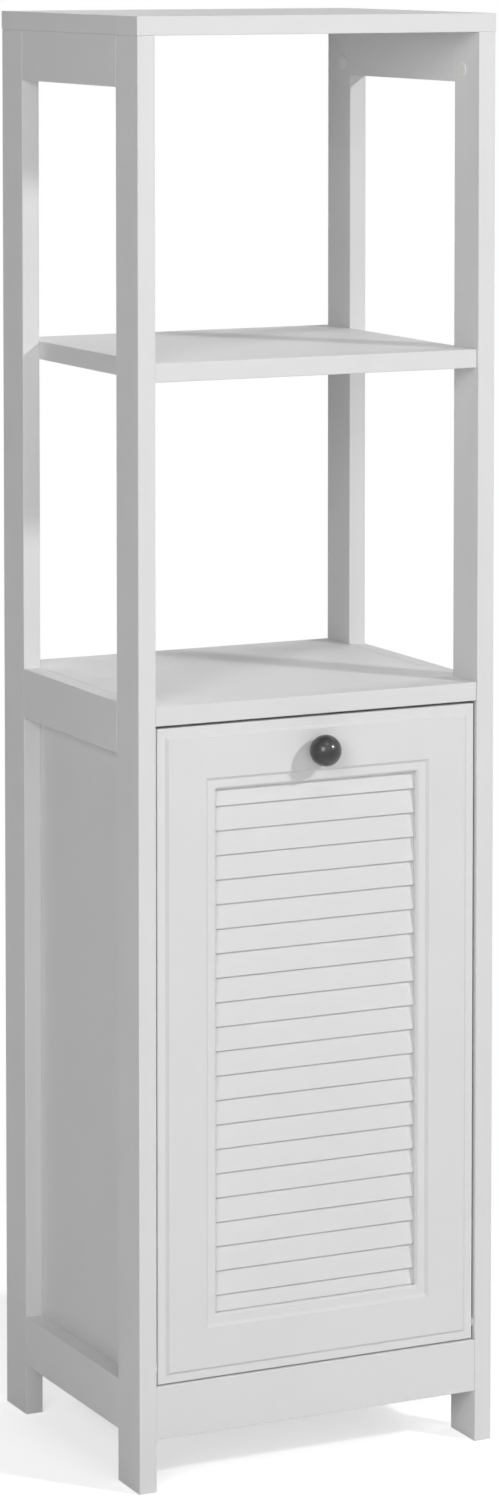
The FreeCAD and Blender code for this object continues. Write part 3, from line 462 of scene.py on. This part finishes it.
def casing():
    """Cloth folded over the wire and sewn to the body, open at the two clips."""
    steps = round(ring_length / 0.004)
    snug = WIRE_RADIUS + CLOTH / 2 + 0.0002
    flap = 0.0016
    section = [(flap, -0.0260), (flap, -0.0225), (flap, -0.0180), (flap, -0.0130), (flap, -0.0095)]
    section += [(snug * math.cos(math.radians(a)), snug * math.sin(math.radians(a)))
                for a in (-38, -10, 20, 50, 80, 110, 140, 170, 200, 218)]
    section += [(-0.0001, -0.0080), (0.0, -0.0098)]
    mesh = bmesh.new()
    layer = mesh.loops.layers.uv.new("cut")
    rows, seams = [], ([], [])
    for step in range(steps):
        distance = ring_length * step / steps
        point, outward = ring_walk(distance)
        row = []
        for place, (out, up) in enumerate(section):
            ripple = 0.5 + 0.5 * noise.noise(Vector((distance * 55, up * 60, 3.0)))
            give = ripple * (0.0009 if place < 4 else 0.0004) * (place < len(section) - 2)
            push = Vector((out, up)).normalized() * give if place > 4 else Vector((give, 0))
            row.append(mesh.verts.new(point + outward * (out + push.x) + Vector((0, 0, up + push.y))))
        rows.append(row)
        for seam, place in zip(seams, (1, 3)):
            seam.append((row[place].co + outward * (CLOTH / 2 + 0.0001), outward))
    lengths = [0.0]
    for (a, b), (c, d) in zip(section, section[1:]):
        lengths.append(lengths[-1] + math.hypot(c - a, d - b))
    notch = (CLIP_OUTER_X - CLIP_WIDTH - CLIP_CLEARANCE, CLIP_OUTER_X + CLIP_CLEARANCE)
    for step in range(steps):
        after = (step + 1) % steps
        for place in range(len(section) - 1):
            corners = (rows[step][place], rows[after][place], rows[after][place + 1], rows[step][place + 1])
            middle = sum((v.co for v in corners), Vector()) / 4
            at_clip = notch[0] < abs(middle.x) < notch[1] and middle.y < RING_FRONT + 0.006
            if at_clip and middle.z > RING_Z - 0.0095:
                continue
            face = mesh.faces.new(corners)
            cut = ((step, place), (step + 1, place), (step + 1, place + 1), (step, place + 1))
            for loop, (u, v) in zip(face.loops, cut):
                loop[layer].uv = (u * ring_length / steps, lengths[v])
    for vertex in [v for v in mesh.verts if not v.link_faces]:
        mesh.verts.remove(vertex)
    made = add_object("bag_casing", mesh, finishes["bag_cloth"])
    solid = made.modifiers.new("thickness", "SOLIDIFY")
    solid.thickness = CLOTH * 0.8
    solid.offset = 0
    return made, [seam + seam[:1] for seam in seams]


def seam_strip(body, columns, wall_rows, middle_column):
    """Flat-felled seam down a wall, raised from the body's own surface, with its two stitch lines."""
    vertices = body.data.vertices
    mesh = bmesh.new()
    layer = mesh.loops.layers.uv.new("cut")
    grid, lines = [], ([], [])
    for row in range(RIM_ROWS, wall_rows + 1):
        one, two = (vertices[row * columns + (middle_column + shift) % columns] for shift in (0, 1))
        pair = [v.co + v.normal * CLOTH for v in (one, two)]
        grid.append([mesh.verts.new(p) for p in pair])
        for line, share in zip(lines, (0.15, 0.85)):
            line.append((pair[0].lerp(pair[1], share) + one.normal * (CLOTH / 2 + 0.0002), one.normal.copy()))
    for index, (low, high) in enumerate(zip(grid, grid[1:])):
        face = mesh.faces.new((low[0], low[1], high[1], high[0]))
        for loop, (u, v) in zip(face.loops, ((0, 0), (CELL, 0), (CELL, CELL), (0, CELL))):
            loop[layer].uv = (u, v + index * CELL)
    return mesh, lines


def bottom_piping(body, columns, wall_rows, radius=0.0014, offset=0.0008, sides=8):
    """Rolled seam allowance round the bottom edge, as a thin tube of cloth."""
    vertices = body.data.vertices
    upward = Vector((0, 0, 1))
    row = wall_rows * columns
    mesh = bmesh.new()
    hoops = []
    for column in range(columns):
        here = vertices[row + column].co
        onward, backward = (vertices[row + (column + shift) % columns].co for shift in (1, -1))
        out = (onward - backward).normalized().cross(upward).normalized()
        if out.dot(here - Vector((ring_middle.x, ring_middle.y, here.z))) < 0:
            out = -out
        centre = here + out * offset
        hoop = []
        for corner in range(sides):
            angle = math.tau * corner / sides
            hoop.append(mesh.verts.new(centre + out * math.cos(angle) * radius
                                       + upward * math.sin(angle) * radius))
        hoops.append(hoop)
    for column in range(columns):
        after = (column + 1) % columns
        for corner in range(sides):
            other = (corner + 1) % sides
            mesh.faces.new((hoops[column][corner], hoops[after][corner],
                            hoops[after][other], hoops[column][other]))
    return add_object("bag_bottom_seam", mesh, finishes["bag_cloth"])


def laundry_bag():
    mesh, columns, wall_rows = bag_shape()
    body = add_object("laundry_bag_cloth", mesh, finishes["bag_cloth"])
    hang(body, list(range(RIM_ROWS * columns)))
    side_columns = [round(columns * quarter / 4) for quarter in (1, 3)]
    pieces, lines = [], []
    for name, column in zip(("bag_right_seam", "bag_left_seam"), side_columns):
        strip, seam_lines = seam_strip(body, columns, wall_rows, column)
        piece = add_object(name, strip, finishes["bag_cloth"])
        solid = piece.modifiers.new("thickness", "SOLIDIFY")
        solid.thickness = CLOTH
        solid.offset = 0
        pieces.append(piece)
        lines += seam_lines
    pieces.append(bottom_piping(body, columns, wall_rows))
    fold, casing_lines = casing()
    pieces.append(fold)
    pieces.append(stitches("bag_stitches", lines + casing_lines, sewing_thread))
    solid = body.modifiers.new("thickness", "SOLIDIFY")
    solid.thickness = CLOTH
    solid.offset = 0
    finer = body.modifiers.new("finer", "SUBSURF")
    finer.levels = finer.render_levels = 1
    for piece in (body, *pieces):
        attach(piece, "hamper_door")
    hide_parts("laundry_bag")


sewing_thread = thread()
laundry_bag()


# ---------------------------------------------------------------------------
# Louvres: thin slats, eased along their edges by the paint
# ---------------------------------------------------------------------------
def louvers():
    """Shallow overlapping slats between the stiles; the first and the last are trimmed to the opening."""
    lean = math.radians(SLAT_LEAN)
    up = Vector((0, math.sin(lean), math.cos(lean)))
    thick = Vector((0, math.cos(lean), -math.sin(lean)))
    top_edge = (slats_low.z + slats_high.z) / 2 + SLAT_PITCH * (SLAT_COUNT - 2) / 2
    half = OPENING_X - SLAT_END_GAP
    mesh = bmesh.new()
    for index in range(SLAT_COUNT):
        foot = Vector((0, field_face + SLAT_DEPTH, top_edge - SLAT_PITCH * index))
        start = max(0.0, (slats_low.z + SLAT_FOOT_GAP - foot.z) / up.z)
        end = min(SLAT_LENGTH, (slats_high.z - foot.z) / up.z)
        outline = [foot + up * along + thick * across for along, across in
                   ((start, 0), (end, 0), (end, SLAT_THICKNESS), (start, SLAT_THICKNESS))]
        ends = [[mesh.verts.new((x, point.y, point.z)) for point in outline] for x in (-half, half)]
        mesh.faces.new(ends[0])
        mesh.faces.new(ends[1][::-1])
        for corner in range(4):
            after = (corner + 1) % 4
            mesh.faces.new((ends[0][corner], ends[1][corner], ends[1][after], ends[0][after]))
    piece = add_object("louver_blades", mesh, PAINT)
    eased = piece.modifiers.new("eased edges", "BEVEL")
    eased.width = 0.0004
    eased.segments = 3
    eased.harden_normals = True
    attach(piece, "hamper_door")
    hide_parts("louver_slats")


louvers()


# ---------------------------------------------------------------------------
# Floor, light and camera
# ---------------------------------------------------------------------------
def seen_rays(tree):
    """1 on rays that come from the camera or from a mirror-like or clear surface."""
    path = tree.nodes.new("ShaderNodeLightPath")
    most = path.outputs["Is Camera Ray"]
    for key in ("Is Glossy Ray", "Is Transmission Ray"):
        larger = tree.nodes.new("ShaderNodeMath")
        larger.operation = "MAXIMUM"
        tree.links.new(most, larger.inputs[0])
        tree.links.new(path.outputs[key], larger.inputs[1])
        most = larger.outputs["Value"]
    return most


def pale_floor():
    """Pale matt floor that keeps the shadow near the object and runs out into the white background."""
    mesh = bmesh.new()
    bmesh.ops.create_circle(mesh, cap_ends=True, segments=96, radius=FLOOR_RADIUS)
    data = bpy.data.meshes.new("floor")
    mesh.to_mesh(data)
    floor = bpy.data.objects.new("floor", data)
    bpy.context.scene.collection.objects.link(floor)
    material = bpy.data.materials.new("pale_floor")
    material.use_nodes = True
    tree = material.node_tree
    tree.nodes.clear()
    new = tree.nodes.new
    matt, glow, white = new("ShaderNodeBsdfDiffuse"), new("ShaderNodeEmission"), new("ShaderNodeEmission")
    matt.inputs["Color"].default_value = (0.86, 0.86, 0.86, 1)
    glow.inputs["Strength"].default_value = FLOOR_GLOW
    white.inputs["Strength"].default_value = 1.0
    near = new("ShaderNodeAddShader")
    tree.links.new(matt.outputs[0], near.inputs[0])
    tree.links.new(glow.outputs[0], near.inputs[1])
    coords, length, reach = new("ShaderNodeTexCoord"), new("ShaderNodeVectorMath"), new("ShaderNodeMapRange")
    length.operation = "LENGTH"
    reach.interpolation_type = "SMOOTHSTEP"
    reach.inputs["From Min"].default_value = SHADOW_FULL
    reach.inputs["From Max"].default_value = SHADOW_GONE
    tree.links.new(coords.outputs["Object"], length.inputs[0])
    tree.links.new(length.outputs["Value"], reach.inputs["Value"])
    shown = new("ShaderNodeMixShader")
    tree.links.new(reach.outputs["Result"], shown.inputs["Fac"])
    tree.links.new(near.outputs[0], shown.inputs[1])
    tree.links.new(white.outputs[0], shown.inputs[2])
    final, output = new("ShaderNodeMixShader"), new("ShaderNodeOutputMaterial")
    tree.links.new(seen_rays(tree), final.inputs["Fac"])
    tree.links.new(matt.outputs[0], final.inputs[1])
    tree.links.new(shown.outputs[0], final.inputs[2])
    tree.links.new(final.outputs[0], output.inputs["Surface"])
    data.materials.append(material)


def surroundings(level):
    """Even grey room light; white where it is seen."""
    world = bpy.data.worlds.new("room")
    bpy.context.scene.world = world
    world.use_nodes = True
    tree = world.node_tree
    tree.nodes.clear()
    new = tree.nodes.new
    room, white, mix, output = (new("ShaderNodeBackground"), new("ShaderNodeBackground"),
                                new("ShaderNodeMixShader"), new("ShaderNodeOutputWorld"))
    room.inputs["Color"].default_value = (level, level, level, 1)
    white.inputs["Color"].default_value = (1, 1, 1, 1)
    tree.links.new(seen_rays(tree), mix.inputs["Fac"])
    tree.links.new(room.outputs[0], mix.inputs[1])
    tree.links.new(white.outputs[0], mix.inputs[2])
    tree.links.new(mix.outputs[0], output.inputs["Surface"])


def soft_lamp(name, azimuth, elevation, distance, size, power, target=(0, 0, 0.75)):
    """Square lamp aimed at the object, in degrees, metres and watts; azimuth 0 is in front, 90 to the right."""
    data = bpy.data.lights.new(name, "AREA")
    data.size = size
    data.energy = power
    lamp = bpy.data.objects.new(name, data)
    a, e = math.radians(azimuth), math.radians(elevation)
    away = Vector((math.sin(a) * math.cos(e), -math.cos(a) * math.cos(e), math.sin(e)))
    lamp.location = Vector(target) + away * distance
    lamp.rotation_mode = "QUATERNION"
    lamp.rotation_quaternion = away.to_track_quat("Z", "Y")
    bpy.context.scene.collection.objects.link(lamp)


def photo_camera():
    data = bpy.data.cameras.new("camera")
    data.sensor_width = 36.0
    data.lens = CAMERA_FOCUS / PHOTO_HEIGHT * data.sensor_width
    data.shift_y = (CAMERA_AXIS_ROW - PHOTO_HEIGHT / 2) / PHOTO_HEIGHT
    camera = bpy.data.objects.new("camera", data)
    yaw, pitch = math.radians(CAMERA_YAW), math.radians(CAMERA_PITCH)
    ahead = Vector((math.sin(yaw) * math.cos(pitch), math.cos(yaw) * math.cos(pitch), -math.sin(pitch)))
    camera.location = CAMERA_PLACE
    camera.rotation_mode = "QUATERNION"
    camera.rotation_quaternion = ahead.to_track_quat("-Z", "Y")
    data.clip_end = 100
    bpy.context.scene.collection.objects.link(camera)
    bpy.context.scene.camera = camera


pale_floor()
surroundings(ROOM_LEVEL)
soft_lamp("key_lamp", 36.5, 29, 6.5, 0.45, 165)
soft_lamp("left_front_lamp", -45, 20, 5.0, 2.0, 82)
soft_lamp("front_lamp", -10, 20, 5.0, 2.0, 11)
soft_lamp("high_front_lamp", -10, 55, 5.0, 2.0, 23)
soft_lamp("right_back_lamp", 110, 32, 5.0, 2.0, 58)
soft_lamp("back_lamp", 168, 18, 5.0, 2.0, 16)
photo_camera()
bpy.context.scene.view_settings.view_transform = "Standard"
